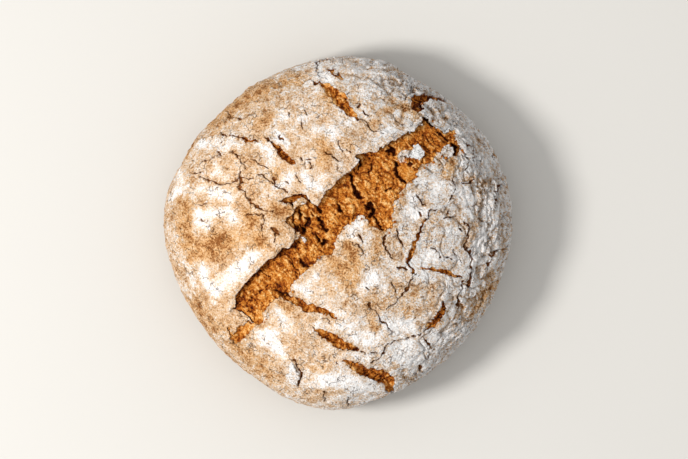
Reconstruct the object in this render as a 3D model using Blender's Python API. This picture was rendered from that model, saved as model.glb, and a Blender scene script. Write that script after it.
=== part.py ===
"""Round potato bread loaf: one hearth loaf with a burst score, torn crust and a flat foot.

Metres, +Z up. The origin is the middle of the foot, where the loaf rests.
"""

import bmesh
import bpy
import numpy as np
from mathutils import Vector, noise

# Driving dimensions.
LOAF_HEIGHT = 0.080
WAIST_HEIGHT = 0.029  # the loaf is widest here
OUTLINE_MM = (  # radius at the waist every 15 degrees, anticlockwise from +X
    110.5, 111.5, 111.5, 109.0, 108.0, 112.0, 111.0, 108.0, 107.0, 105.5, 107.5, 109.5,
    109.0, 106.0, 103.5, 104.0, 105.5, 110.0, 112.5, 108.5, 106.0, 105.5, 106.5, 107.5,
)  # fmt: skip
SHOULDER = 2.35  # superellipse power of the dome: 2 is round, more is squarer
FOOT_EDGE = 4.5  # the same for the tuck from the waist down to the foot
FOOT_PRESS = 1.09  # how much of the tuck the oven floor flattened

GRID_CUTS = 124
LOAF_TRIANGLES = 11600

# The score that burst open, as (x, y, half width) in mm along its middle, seen from above.
SCORE = (
    (-65, -66, 3.0), (-59, -57, 6.5), (-54.5, -48, 10.5), (-48, -34.5, 9.0),
    (-35.5, -24, 10.5), (-24.5, -15.5, 10.5), (-13, 2.5, 15.5), (0, 14.5, 13.0),
    (15.5, 28, 16.5), (27.5, 34, 17.5), (40, 44, 14.5), (50.5, 49.5, 13.0),
    (58, 56, 10.5), (71.5, 57, 7.5),
)  # fmt: skip
SCORE_LOBE = ((19, 25, 12.0), (28.5, 7.5, 6.5))
SCORE_SPUR = ((62, 60, 6.0), (56.5, 71, 2.2))

# Tears in the crust: (x, y, half width) in mm along each, from above.
TEARS = {
    "north": ((-11, 94.5, 1.0), (-3.5, 89, 3.3), (2, 84, 4.2), (8, 76.5, 2.4), (14, 71.5, 0.9)),
    "north_rim": ((-4.5, 104, 1.6), (3.5, 97.5, 2.6)),
    "north_east": ((50, 78, 2.8), (50.5, 83.5, 3.4), (57, 85, 2.8), (62, 84.5, 2.0), (68.5, 82, 1.3)),
    "north_west": ((-69, 61, 0.8), (-58.5, 58.5, 1.7), (-53, 57, 1.5), (-47, 58, 0.8)),
    "west_of_score": ((-41, 56, 0.8), (-36, 51.5, 1.7), (-32, 47.5, 2.3), (-27.5, 44, 1.3)),
    "off_the_score": ((-38, -39, 1.4), (-30, -41, 2.4), (-21, -45, 2.4), (-15, -49.5, 2.0), (0, -54, 1.1)),
    "south": ((-15, -59.5, 0.9), (-9.5, -63.5, 2.3), (-2, -67, 3.2), (5, -72, 2.7), (13, -74, 1.1)),
    "south_rim": ((5, -81, 1.2), (12, -84.7, 2.4), (20, -88, 3.2), (27, -90.5, 4.0), (33, -94.5, 4.3),
                  (33, -99.5, 2.8)),
    "east_down": ((59, 14, 0.9), (54.5, 5, 1.3), (51, -5, 1.4), (46.5, -14, 1.7), (47, -21.5, 1.4)),
    "east_across": ((53, -22.5, 0.9), (61.5, -23, 1.5), (70.5, -25, 1.6), (79, -29.5, 1.0)),
    "south_east": ((68, -43, 0.9), (66.5, -49.5, 2.2), (61.5, -57, 2.5), (54, -63.5, 1.0)),
}

# Broad bulges of the crust: (x, y, radius, height) in mm.
SWELLS = (
    (-39, 8, 26, 3.0), (-12, 45, 30, 2.2), (-60, -12, 34, 1.5), (-24, -66, 15, 3.4),
    (-40, -60, 13, 1.6), (12, -26, 24, 2.6), (56, -44, 19, 2.6), (66, 6, 20, 1.8),
    (30, 84, 22, 2.0), (-62, 46, 18, 2.0), (0, -92, 20, 1.6), (70, 38, 16, 2.0),
)  # fmt: skip

# The crust's unevenness: how high its lumps rise and how wide they are.
BROAD_RISE = 0.0016
BROAD_SIZE = 0.030
FINE_RISE = 0.0007
FINE_SIZE = 0.009
WAIST_CALM = 0.6  # the share of it that the tight skin at the waist smooths away
WAIST_BAND = 0.014
FOOT_BAND = 0.012  # it fades in over this height above the foot
TOP_BAND = 0.006  # the bulges, score and tears fade in over this height above the waist

SCORE_DEPTH = 0.0085  # below the crust, along the raised north-west lip
SCORE_SHALLOW = 0.0024  # along the low south-east lip
SCORE_FADE = (0.12, 0.85)  # the shares of its length where it has run in to full depth and runs out
RUN_OUT = 0.6  # the share of the depth lost at its north-east end
BRANCH_SIDE = -0.2  # the score's branches lie near its low side
LIP_RISE = 0.0028
LOW_LIP_RISE = 0.0008
LIP_REACH = 0.007
TEAR_DEPTH = 0.0040
TEAR_LIP_RISE = 0.0008
TEAR_LIP_REACH = 0.004
EDGE_WANDER = 0.0013  # how far a torn edge strays from a smooth line
WANDER_SIZE = 0.007
EDGE_SLOPE = (-0.0007, 0.0011)  # a torn edge falls from outside its line to inside it
CRUMB_LUMP = 0.0016
CRUMB_SIZE = 0.008

FLOURED_CRUST = (0.62, 0.50, 0.38, 1.0)
CRUST_ROUGHNESS = 0.85
OPEN_CRUMB = (0.42, 0.17, 0.045, 1.0)
CRUMB_ROUGHNESS = 0.8


def smooth(value, low, high):
    """0 below low, 1 above high, eased between."""
    share = np.clip((value - low) / (high - low), 0, 1)
    return share * share * (3 - 2 * share)


def rough(points, scale, octaves, offset):
    """Fractal noise of about -1 to 1 with lumps of the given size; each offset has its own."""
    shift = Vector((offset, -offset, 2 * offset))
    return np.array(
        [noise.fractal(Vector(p) / scale + shift, 0.8, 2.0, octaves) for p in points]
    )


def outline_radius(angle):
    """The waist's radius at an angle, on a smooth closed curve through OUTLINE_MM."""
    radii = np.array(OUTLINE_MM) / 1000
    place = (angle / (2 * np.pi) * len(radii)) % len(radii)
    at = np.floor(place).astype(int)
    t = place - at
    before, here, after, beyond = (radii[(at + k) % len(radii)] for k in (-1, 0, 1, 2))
    return here + 0.5 * t * (
        after - before
        + t * (2 * before - 5 * here + 4 * after - beyond
               + t * (3 * (here - after) + beyond - before))
    )  # fmt: skip


def along_path(points, path):
    """(distance outside the path's edge, side, share along it) of each point, from above.

    Side runs from 1 at the edge on the path's left to -1 at the edge on its right.
    """
    path = np.array(path) / 1000
    edge = np.full(len(points), 9.0)
    side = np.zeros(len(points))
    share = np.zeros(len(points))
    for number, (start, end) in enumerate(zip(path[:-1], path[1:])):
        run = end[:2] - start[:2]
        offset = points[:, :2] - start[:2]
        t = np.clip(offset @ run / (run @ run), 0, 1)
        gap = offset - t[:, None] * run
        half_width = start[2] + t * (end[2] - start[2])
        outside = np.hypot(gap[:, 0], gap[:, 1]) - half_width
        left = (run[0] * offset[:, 1] - run[1] * offset[:, 0]) / np.hypot(*run)
        nearer = outside < edge
        edge = np.where(nearer, outside, edge)
        side = np.where(nearer, np.clip(left / half_width, -1, 1), side)
        share = np.where(nearer, (number + t) / (len(path) - 1), share)
    return edge, side, share


def loaf_blank(bm):
    """A cube blown up into the plain loaf: domed top, full waist and flat foot."""
    bmesh.ops.create_cube(bm, size=2)
    bmesh.ops.subdivide_edges(bm, edges=bm.edges[:], cuts=GRID_CUTS, use_grid_fill=True)
    cube = np.array([v.co for v in bm.verts])
    even = np.tan(cube * np.pi / 4)  # gives the squares nearly one size on the sphere
    ball = even / np.linalg.norm(even, axis=1)[:, None]
    up = ball[:, 2]
    out = np.hypot(ball[:, 0], ball[:, 1])
    angle = np.arctan2(ball[:, 1], ball[:, 0])
    above = up >= 0
    power = np.where(above, 2 / SHOULDER, 2 / FOOT_EDGE)
    radius = outline_radius(angle) * out**power
    rise = np.abs(up) ** power
    height = np.where(
        above,
        WAIST_HEIGHT + (LOAF_HEIGHT - WAIST_HEIGHT) * rise,
        WAIST_HEIGHT * (1 - FOOT_PRESS * rise),
    )
    flat = np.stack([radius * np.cos(angle), radius * np.sin(angle), height], axis=1)
    flat[:, 2] = np.maximum(flat[:, 2], 0)
    return flat


def unevenness(points, face_up):
    """How far the crust's lumps and bulges rise over the plain loaf."""
    waist = np.exp(-(((points[:, 2] - WAIST_HEIGHT) / WAIST_BAND) ** 2))
    held = smooth(points[:, 2], 0.0, FOOT_BAND) * (1 - WAIST_CALM * waist)
    rise = BROAD_RISE * rough(points, BROAD_SIZE, 3, 5.2) * held
    rise += FINE_RISE * rough(points, FINE_SIZE, 3, 8.8) * held
    for x, y, radius, height in SWELLS:
        away = np.hypot(points[:, 0] * 1000 - x, points[:, 1] * 1000 - y) / radius
        rise += height / 1000 * np.exp(-2 * away**2) * face_up
    return rise


def score_relief(points, wander, lumps):
    """(rise, share inside) of the burst score: deep along its raised lip, shallow along the other."""
    edge, side, share = along_path(points, SCORE)
    for branch in (SCORE_LOBE, SCORE_SPUR):
        branch_edge, _, _ = along_path(points, branch)
        side = np.where(branch_edge < edge, BRANCH_SIDE, side)
        edge = np.minimum(edge, branch_edge)
    edge += wander
    inside = smooth(-edge, *EDGE_SLOPE)
    raised_side = smooth(side, -0.3, 0.9)
    run_in, run_out = SCORE_FADE
    depth = SCORE_SHALLOW + (SCORE_DEPTH - SCORE_SHALLOW) * raised_side
    depth *= smooth(share, 0.0, run_in) * (1 - RUN_OUT * smooth(share, run_out, 1.0))
    lip = LOW_LIP_RISE + (LIP_RISE - LOW_LIP_RISE) * raised_side
    lip *= np.exp(-np.maximum(edge, 0) / LIP_REACH)
    return lip * (1 - inside) - (depth - lumps) * inside, inside


def tear_relief(points, path, wander, lumps):
    """(rise, share inside) of one tear: a shallow hollow with a slight lip."""
    edge, _, _ = along_path(points, path)
    edge += 0.5 * wander
    inside = smooth(-edge, *EDGE_SLOPE)
    lip = TEAR_LIP_RISE * np.exp(-np.maximum(edge, 0) / TEAR_LIP_REACH)
    return lip * (1 - inside) - (TEAR_DEPTH - 0.5 * lumps) * inside, inside


def relief(points, normals):
    """(the points with bulges, lips, score and tears, how much each is bare crumb)."""
    face_up = smooth(points[:, 2], WAIST_HEIGHT, WAIST_HEIGHT + TOP_BAND)
    wander = EDGE_WANDER * rough(points, WANDER_SIZE, 3, 1.7)
    lumps = CRUMB_LUMP * rough(points, CRUMB_SIZE, 3, 3.1)
    opened = [score_relief(points, wander, lumps)]
    opened += [tear_relief(points, path, wander, lumps) for path in TEARS.values()]

    rise = unevenness(points, face_up)
    crumb = np.zeros(len(points))
    for change, inside in opened:
        rise += change * face_up
        crumb = np.maximum(crumb, inside * face_up)

    shaped = points + normals * rise[:, None]
    shaped[:, 2] = np.where(points[:, 2] <= 0, 0, np.maximum(shaped[:, 2], 0))
    shaped[:, :2] -= (shaped[:, :2].min(axis=0) + shaped[:, :2].max(axis=0)) / 2
    return shaped, crumb


def material(name, colour, roughness):
    made = bpy.data.materials.new(name)
    made.use_nodes = True
    shader = made.node_tree.nodes["Principled BSDF"]
    shader.inputs["Base Color"].default_value = colour
    shader.inputs["Roughness"].default_value = roughness
    shader.inputs["Metallic"].default_value = 0.0
    made.diffuse_color = colour
    return made


def build_loaf():
    """The loaf in one body, its torn faces in the crumb's colour, thinned where it is plain."""
    bm = bmesh.new()
    blank = loaf_blank(bm)
    for vert, place in zip(bm.verts, blank):
        vert.co = place
    bm.normal_update()
    normals = np.array([v.normal for v in bm.verts])
    shaped, crumb = relief(blank, normals)
    for vert, place in zip(bm.verts, shaped):
        vert.co = place
    for face in bm.faces:
        face.material_index = int(np.mean([crumb[v.index] for v in face.verts]) > 0.5)
    bmesh.ops.recalc_face_normals(bm, faces=bm.faces[:])

    mesh = bpy.data.meshes.new("loaf")
    bm.to_mesh(mesh)
    bm.free()
    mesh.materials.append(material("floured_crust", FLOURED_CRUST, CRUST_ROUGHNESS))
    mesh.materials.append(material("open_crumb", OPEN_CRUMB, CRUMB_ROUGHNESS))
    mesh.shade_smooth()
    loaf = bpy.data.objects.new("loaf", mesh)
    bpy.context.scene.collection.objects.link(loaf)
    thin = loaf.modifiers.new("Fewer faces", "DECIMATE")
    thin.ratio = LOAF_TRIANGLES / (2 * len(mesh.polygons))
    return loaf


for old in list(bpy.data.objects):
    bpy.data.objects.remove(old)
build_loaf()
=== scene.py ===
"""A round potato bread loaf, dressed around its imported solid: floured crust, torn crumb, loose flakes.

Metres, +Z up, the loaf resting on z = 0 with its score running from -X -Y to +X +Y.
"""

import bmesh
import bpy
import numpy as np
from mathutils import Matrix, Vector, noise


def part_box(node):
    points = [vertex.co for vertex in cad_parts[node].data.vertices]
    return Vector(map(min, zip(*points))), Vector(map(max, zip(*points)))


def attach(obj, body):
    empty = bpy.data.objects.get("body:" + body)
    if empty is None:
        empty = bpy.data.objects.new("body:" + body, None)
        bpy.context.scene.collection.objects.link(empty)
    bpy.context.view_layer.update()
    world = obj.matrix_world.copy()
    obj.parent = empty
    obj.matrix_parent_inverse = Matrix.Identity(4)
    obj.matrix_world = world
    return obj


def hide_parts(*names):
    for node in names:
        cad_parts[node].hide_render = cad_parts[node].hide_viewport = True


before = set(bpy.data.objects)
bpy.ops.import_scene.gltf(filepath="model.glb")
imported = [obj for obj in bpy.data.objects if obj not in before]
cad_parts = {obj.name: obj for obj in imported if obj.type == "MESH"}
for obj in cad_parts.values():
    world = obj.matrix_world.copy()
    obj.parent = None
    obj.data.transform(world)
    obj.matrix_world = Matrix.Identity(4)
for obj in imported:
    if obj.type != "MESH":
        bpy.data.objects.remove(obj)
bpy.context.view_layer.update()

# ---- Camera ----
# Straight above the loaf through a long lens, with the loaf a little left of the frame's middle.
WAIST_HEIGHT = 0.029  # the level where the loaf is widest
CAMERA_HEIGHT = 10.0
CAMERA_OVER = (0.0038, 0.0022)
VIEW_WIDTH = 0.4374  # what the frame takes in at the waist
SENSOR_WIDTH = 36.0


def placed(name, data):
    """An object of the given data, linked into the scene."""
    made = bpy.data.objects.new(name, data)
    bpy.context.scene.collection.objects.link(made)
    return made


camera_data = bpy.data.cameras.new("camera")
camera_data.sensor_width = SENSOR_WIDTH
camera_data.lens = SENSOR_WIDTH * (CAMERA_HEIGHT - WAIST_HEIGHT) / VIEW_WIDTH
camera_data.clip_end = 20.0
camera = placed("camera", camera_data)
camera.location = (*CAMERA_OVER, CAMERA_HEIGHT)
bpy.context.scene.camera = camera

# ---- Crust ----
# The loaf's baked skin: a low floured dome on a flat sole, burst along one score and torn in a
# dozen lesser places. It is one closed body, hollowed under every tear for the crumb to fill.
LOAF_HEIGHT = 0.080
SHOULDER = 2.35  # superellipse power of the dome: 2 is round, more is squarer
FOOT_EDGE = 4.5  # the same for the tuck from the waist down to the foot
FOOT_PRESS = 1.09  # how much of the tuck the oven floor flattened
OUTLINE_MM = (  # radius at the waist every 15 degrees, anticlockwise from +X
    110.5, 111.5, 111.5, 109.0, 108.0, 112.0, 111.0, 108.0, 107.0, 105.5, 107.5, 109.5,
    109.0, 106.0, 103.5, 104.0, 105.5, 110.0, 112.5, 108.5, 106.0, 105.5, 106.5, 107.5,
)
CRUST_CUTS = 230
CRUST_TRIANGLES = 194000
EDGE_BAND = 1.5  # mm each side of a torn edge or crack that has finer faces

# The burst score's torn edge in mm from above: its raised side, then its low side on the way back.
NORTH_WEST_LIP = (
    (-66.5, -48.2), (-63.8, -46), (-63.6, -39), (-57, -30.5), (-46.5, -19.8), (-43, -16.2), (-39.8, -15.6),
    (-34, -8.7), (-30.2, -9.3), (-27.3, -6.5), (-27, -2.5), (-27.6, 1.5), (-33.8, 7.2), (-31.3, 9.6),
    (-27.6, 12.5), (-28.6, 17.2), (-34, 18), (-36.4, 18.8), (-36.2, 20.6), (-33, 22.4), (-28, 23.8),
    (-20.2, 25.2), (-14.3, 19), (-12.2, 18.2), (-10.6, 21.6), (-4.8, 27.6), (1, 33.5), (9.8, 40.2),
    (12.8, 44.5), (10.6, 48.8), (16.5, 50.6), (24, 51.5), (31, 56), (36, 58.2), (43, 62), (50.2, 65.3),
    (53, 68), (53.6, 74.6),
)
SOUTH_EAST_LIP = (
    (53.6, 74.6), (57, 73), (64, 66.4), (68, 63), (73.6, 66.3), (75, 62.5), (77.5, 57), (79, 49),
    (76, 47.8), (70.6, 46), (66.4, 49.2), (62.8, 48.4), (60.8, 43.6), (54, 41), (51.8, 36), (50.5, 32.8),
    (45, 29.2), (40.8, 24.6), (40.2, 20.4), (36.6, 16.4), (35.4, 9.2), (36.6, 3.2), (31.4, -0.6), (25, 2.2),
    (20.5, 4.9), (17.8, 8.8), (14.8, 9.9), (11.5, 6.5), (5, 2.5), (3, -2), (-1, -7.5), (0, -11), (-2, -15),
    (-10.4, -15.3), (-13, -21), (-25.2, -30.6), (-27.8, -35), (-29, -40.5), (-36, -41.5), (-41, -45.5),
    (-44.8, -51), (-45.6, -58), (-48.5, -60), (-52, -58.5), (-54.5, -55.5), (-60, -51), (-66.5, -48.2),
)

# Tears and cracks as (x, y, half width) in mm along each, from above.
TEARS = {
    "north": ((-11, 94.5, 1), (-3.5, 89, 3.3), (2, 84, 4.2), (8, 76.5, 2.4), (14, 71.5, 0.9)),
    "north_rim": ((-5, 103.5, 1), (-1.5, 101, 1.9), (2.5, 98, 2), (3.2, 96.6, 1.2)),
    "north_east": ((50.8, 78.8, 3.6), (50.8, 82.8, 4), (57, 85, 2.6), (62, 84.6, 2), (68.5, 82.6, 1)),
    "north_west": ((-60, 60, 0.5), (-58.5, 58.5, 1), (-54, 57.3, 1), (-49, 57.5, 0.4)),
    "west_of_score": ((-41, 56, 0.8), (-36, 51.5, 1.7), (-32, 47.5, 2.3), (-27.5, 44, 1.3)),
    "off_the_score": ((-38, -39, 1.4), (-30, -41, 2), (-24, -44, 2.2), (-19.5, -47.5, 2.9),
        (-14, -48.5, 2.1), (-8, -49, 1.5), (-3.5, -51.7, 1), (0, -54.3, 0.5)),
    "south": ((-14.5, -60.5, 0.5), (-9.5, -63.7, 1.9), (-2, -67.5, 3.1), (4.5, -71.5, 2.9), (9, -72.5, 1.8),
        (14, -74, 0.7)),
    "south_rim": ((5, -81, 0.9), (12, -84.7, 2.4), (20, -88, 3.2), (27, -90.5, 4), (33, -94.5, 4.4),
        (33.5, -99.5, 2.8)),
    "east_down": ((59, 13, 0.4), (54.5, 5.5, 0.8), (51, -5, 1.1), (47, -13.5, 1.3), (45.5, -19, 1),
        (48.5, -24.5, 0.8)),
    "east_across": ((54, -22.8, 0.4), (61.5, -23, 1), (70, -25.5, 1.2), (78.5, -29, 0.8)),
    "south_east": ((67.8, -44, 0.5), (66.5, -49.5, 1.7), (62, -56.5, 2.1), (55, -62.5, 0.6)),
    "crumbled_end": ((-54, -58.5, 2.6), (-58.5, -61.5, 3.9), (-61.8, -65.5, 3)),
    "abraded_end": ((-67.4, -60.5, 1), (-65.6, -65.5, 1.9), (-63.3, -69.5, 1.3)),
}
TEAR_FLOORS = {
    "north": 1.3, "north_rim": 1, "north_east": 3.4, "west_of_score": 1.6, "abraded_end": 0.5,
    "crumbled_end": 0.6,
}
TEAR_FLOOR = 2.2  # mm below the crust, where a tear isn't named above
CRACKS = (
    ((14, 71.5, 0.5), (18.5, 69.8, 0.4), (21, 66, 0.5), (24, 63.5, 0.3)),
    ((-11, 99, 0.3), (-12.6, 103, 0.5), (-12, 107, 0.5), (-9.5, 109.5, 0.6), (-2, 110.5, 0.9)),
    ((-69, 76.5, 0.4), (-67, 73.2, 0.5), (-60, 71.5, 0.35), (-56.5, 71.8, 0.2)),
    ((-74, 64, 0.3), (-70, 60.3, 0.5), (-67, 61.8, 0.4), (-60, 60, 0.7)),
    ((-70, 60.2, 0.35), (-72.5, 57, 0.3)),
    ((-75, 51.5, 0.4), (-73, 49.5, 0.3), (-79, 47, 0.3), (-85, 45.2, 0.25)),
    ((-91, 38, 0.3), (-86, 37.5, 0.4), (-83.5, 39, 0.3)),
    ((-86.5, 35, 0.35), (-82, 33.8, 0.45), (-79, 32.2, 0.4), (-74, 30.5, 0.45), (-66.5, 31.3, 0.35),
        (-61.5, 34.5, 0.4), (-52, 34, 0.35)),
    ((-60, 39, 0.35), (-61.3, 36.5, 0.6), (-60.3, 31, 0.7), (-62, 28.2, 0.6), (-57, 24.5, 0.4),
        (-55.5, 20.5, 0.6), (-50, 16, 0.6), (-45, 13.5, 0.4), (-40.5, 12.8, 0.3)),
    ((-48.5, 36.5, 0.5), (-43.5, 33.5, 0.5), (-40, 31, 0.4)),
    ((-40, 34.5, 0.7), (-38.5, 30, 0.6), (-35, 28, 0.4), (-31, 26, 0.5)), ((-33, 33, 0.3), (-29, 31, 0.3)),
    ((-66, 51.5, 0.25), (-63, 48.5, 0.3), (-60, 44, 0.25), (-58, 40.5, 0.25)),
    ((-41, 57.5, 0.7), (-45.5, 59.5, 0.35), (-46.5, 62, 0.3)), ((-35.5, 61, 0.6), (-33.5, 58.5, 0.4)),
    ((-6.5, 49.5, 0.5), (-3, 49, 0.4), (-0.5, 46.5, 0.6), (2.5, 45.5, 0.4)),
    ((-22, 47, 0.5), (-20.5, 46.3, 0.4)), ((-18.5, 46.5, 0.4), (-15.5, 46.5, 0.4)),
    ((-16.5, 43.5, 0.4), (-16, 41, 0.5)), ((1.3, 58.5, 0.4), (1.8, 55, 0.3), (3.5, 51.5, 0.2)),
    ((6.5, 52.5, 0.4), (9, 49, 0.5)),
    ((-56.5, 11, 0.5), (-54.5, 11.8, 0.4), (-45.5, 10, 0.4), (-47.5, 4.5, 0.35), (-46, -2.5, 0.35)),
    ((-40, 2.2, 0.9), (-37.5, 0, 1.2), (-35.5, -1.8, 0.5)), ((-38.5, -1, 0.5), (-38.7, -6, 0.3)),
    ((31, -2, 0.9), (30, -7, 0.8), (32.5, -12.5, 0.5), (36.5, -16, 0.3)),
    ((38.5, 2, 0.4), (40.5, -3.5, 0.6), (42.5, -9.5, 0.4)), ((14, -1, 0.5), (15, -3.5, 0.7), (17, -6, 0.5)),
    ((50, 24, 0.3), (53, 20.5, 0.35), (56.5, 16, 0.3)), ((52.8, 13, 0.5), (53.8, 10.5, 0.4)),
    ((58.5, 13.5, 0.35), (64, 14.5, 0.3)), ((69.5, 12, 0.5), (72, 14.5, 0.4)),
    ((69, 9, 0.5), (73, 9.2, 0.5), (75.5, 10.5, 0.4)), ((73.8, 36, 0.3), (75.2, 27, 0.5)),
    ((73.7, 24, 0.7), (72.3, 20, 0.4)), ((80.5, 31, 0.4), (84, 31.2, 0.6), (88, 33.5, 0.5)),
    ((82.5, 55, 0.4), (85.5, 55.2, 0.4), (86.5, 50, 0.4), (86, 43, 0.3)),
    ((80, 48.2, 0.4), (83, 46.8, 0.3)),
    ((81, 7.5, 0.4), (84, 3, 0.6), (83.5, -4, 0.6), (81, -8, 0.7), (85.3, -13.5, 0.5), (85.5, -21, 0.7),
        (84, -33, 1), (83.8, -36, 0.5)),
    ((80.5, -31, 0.7), (79.5, -37, 0.5), (77, -41, 0.8), (77, -48, 0.6)), ((76.5, 4, 0.5), (79, 1.5, 0.5)),
    ((60, -9.5, 0.3), (64.5, -12, 0.3), (65, -16.5, 0.25)),
    ((73.5, -10.5, 0.25), (77.5, -16, 0.25), (79.5, -19, 0.25)), ((97, -14.5, 0.5), (99, -15.7, 0.5)),
    ((38.5, -22.5, 0.6), (44, -23, 0.5)),
    ((50, -26, 0.4), (47, -31.5, 0.3), (43.5, -38, 0.5), (36, -45.5, 0.4), (31.5, -49, 0.3)),
    ((20.5, -45.5, 0.6), (24, -49, 0.3), (28.5, -55.5, 0.7), (33.5, -61.5, 0.4)),
    ((18.5, -34.5, 0.5), (20, -36, 0.4)), ((34.5, -31, 0.3), (38.5, -37.5, 0.25)),
    ((54, -64, 0.4), (45, -67.5, 0.4), (37, -69, 0.3), (31.5, -72.5, 0.5), (30.5, -76, 0.7),
        (28, -79.5, 0.5), (21.5, -82, 0.5)), ((22, -75.8, 0.5), (25, -76.3, 0.4)),
    ((54.5, -66, 0.4), (58, -70.5, 0.6), (60.5, -73.5, 0.3)), ((52.5, -84.5, 0.9), (54, -88, 1.1)),
    ((-8.5, -54, 0.3), (-3.5, -57.5, 0.3)),
    ((-27, -81, 0.4), (-23.4, -86.5, 0.9), (-22, -91.5, 0.9), (-25, -97.5, 0.4)),
    ((-8.5, -101, 0.3), (-7.5, -106, 0.4)), ((7.3, -105, 0.4), (7.5, -109.5, 0.5)),
    ((9, -6, 0.2), (13, -7.5, 0.35), (16.5, -12.5, 0.35), (15.5, -16, 0.2)),
    ((104, 34, 1), (108, 31, 1.6), (112, 28, 2.2)), ((103, 30.5, 0.8), (101, 24, 0.6), (100.5, 17, 0.4)),
    ((47.5, -91.5, 0.3), (51, -89.5, 0.5)), ((83.7, 45.5, 0.4), (83.7, 41.3, 0.5), (80, 38, 0.3)),
    ((87.9, 58.5, 0.5), (89.5, 59, 0.5)), ((-86.8, 17.9, 0.3), (-84.4, 17, 0.4), (-82.6, 18.2, 0.3)),
    ((-86.2, 8.6, 0.3), (-84.4, 7.2, 0.4)), ((-53.8, 45.8, 0.4), (-50.2, 44, 0.4)),
    ((-49, 43, 0.4), (-42.4, 40.4, 0.3)), ((-29.8, 75.5, 0.3), (-29, 73.5, 0.3)),
    ((17, 77, 0.6), (18, 75.5, 0.4), (20.3, 74, 0.6)), ((14.3, 81.5, 0.5), (14.6, 79.5, 0.5)),
    ((58.5, -75, 0.3), (58, -80, 0.3), (56, -83, 0.3)), ((16, -75.5, 0.4), (18, -76, 0.4)),
    ((0, -82, 0.4), (1.5, -83, 0.4)), ((70.4, -15.6, 0.3), (72.5, -17, 0.3)),
    ((-14.5, 95.8, 0.8), (-12.5, 93.8, 0.9)), ((47.5, 92, 0.4), (49.5, 88, 0.6)),
    ((-20, 76.5, 0.4), (-18, 74, 0.5)), ((-22, 69, 0.4), (-21.5, 66, 0.4)),
    ((24, 63.5, 0.3), (27, 63.8, 0.3), (30, 62.8, 0.2)), ((38, 69.5, 0.3), (42, 68, 0.4)),
    ((103.3, -10.5, 0.6), (101, -11.9, 0.6), (94.5, -23.5, 0.4)),
    ((-26, 38, 0.2), (-24.5, 34.5, 0.3), (-22, 31, 0.2)),
)
# Soft creases where the skin wrinkled round the east shoulder as the loaf spread.
CREASES = (
    ((95.5, 21, 0.8), (93.5, 13, 1.4), (92, 4, 1.8), (92.5, -1, 1)),
    ((90.5, 36, 0.8), (88.5, 27, 1.2), (89.5, 20, 0.8)), ((98, 42, 0.8), (101.5, 35, 1.2)),
    ((79.5, 66, 0.6), (78.5, 62, 1), (83, 59, 1.4), (83.5, 64, 0.6)),
    ((64, 79, 0.6), (67.5, 75, 1.2), (72, 66, 1.6), (76, 62, 1)),
    ((105, 16, 0.8), (106.5, 9, 1.2), (104.5, 0, 1.2), (106, -8, 1)),
    ((98, -24, 0.8), (96, -33, 1.2), (91, -42, 1)), ((97, -3, 0.8), (96, -11, 1), (101, -11, 0.8)),
    ((-42, -4, 0.8), (-41, -9, 1.6), (-42, -13, 0.8)), ((-25, -47, 0.8), (-21, -55, 1.4), (-20, -62, 0.8)),
    ((-107, -38, 0.6), (-101, -48, 0.9), (-90, -62, 0.9), (-78, -75, 0.7)),
    ((-100, 41, 0.5), (-96, 49, 0.9), (-92, 55, 0.5)),
    ((97.3, 39.9, 0.6), (101, 35.2, 1), (102.9, 28.7, 1), (101, 24.9, 0.6)),
)
SWELLS = (  # broad bulges of the crust: (x, y, radius, height) in mm
    (-39, 8, 26, 3.0), (-12, 45, 30, 2.2), (-60, -12, 34, 1.5), (-24, -66, 15, 3.4),
    (-40, -60, 13, 1.6), (12, -26, 24, 2.6), (56, -44, 19, 2.6), (66, 6, 20, 1.8),
    (30, 84, 22, 2.0), (-62, 46, 18, 2.0), (0, -92, 20, 1.6), (70, 38, 16, 2.0),
)
HIGH_LIP = 2.8  # mm that the raised side of the score stands proud
LOW_LIP = 0.8
LIP_REACH = 7.0
TEAR_LIP = 0.8
TEAR_LIP_REACH = 3.0
SCORE_FLOOR = 14.0  # mm to the bottom of the hollow that the crumb fills
TEAR_HOLLOW = 6.0
WALL = (-0.05, 0.40)  # mm inside a torn edge where its wall starts and where it has dropped
WAIST_FADE = 0.006  # above the waist, where the top's own relief reaches its full height
FOOT_FADE = 0.012  # above the oven floor, where the side's relief does
PLATE_RISE = 1.9  # mm of relief that the skin's plates, wrinkles, cracks and creases have
WRINKLE_DEPTH = 1.6
CRACK_DEPTH = 1.9
CRACK_LIP = 0.50
CREASE_DEPTH = 1.1
NOISE_SEED = 1

noise.seed_set(NOISE_SEED)  # or the vectors that fray the torn edges would differ each run


def smooth(value, low, high):
    """0 at low, 1 at high, eased between and level beyond."""
    share = np.clip((value - low) / (high - low), 0.0, 1.0)
    return share * share * (3.0 - 2.0 * share)


def rough(points, scale, octaves, offset):
    """Fractal noise of about -1 to 1 with lumps of the given size, at each point."""
    moved = points / scale + np.array((offset, -offset, 2.0 * offset))
    return np.array([noise.fractal(place, 0.8, 2.0, octaves) for place in moved.tolist()])


def noise_pairs(points, scale):
    """Two-octave noise of the given size as (x, y) pairs of about -1 to 1, at each point."""
    coarse = np.array([noise.noise_vector(place)[:2] for place in (points / scale).tolist()])
    fine = np.array([noise.noise_vector(place)[:2] for place in (2.2 * points / scale + 7).tolist()])
    return coarse + 0.75 * fine


def outline_radius(angle):
    """The waist's radius at an angle, on a smooth closed curve through OUTLINE_MM."""
    radii = np.array(OUTLINE_MM) / 1000
    place = (angle / (2 * np.pi) * len(radii)) % len(radii)
    at = np.floor(place).astype(int)
    t = place - at
    before, here, after, beyond = (radii[(at + k) % len(radii)] for k in (-1, 0, 1, 2))
    cubic = 3 * (here - after) + beyond - before
    square = 2 * before - 5 * here + 4 * after - beyond
    return here + 0.5 * t * (after - before + t * (square + t * cubic))


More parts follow.
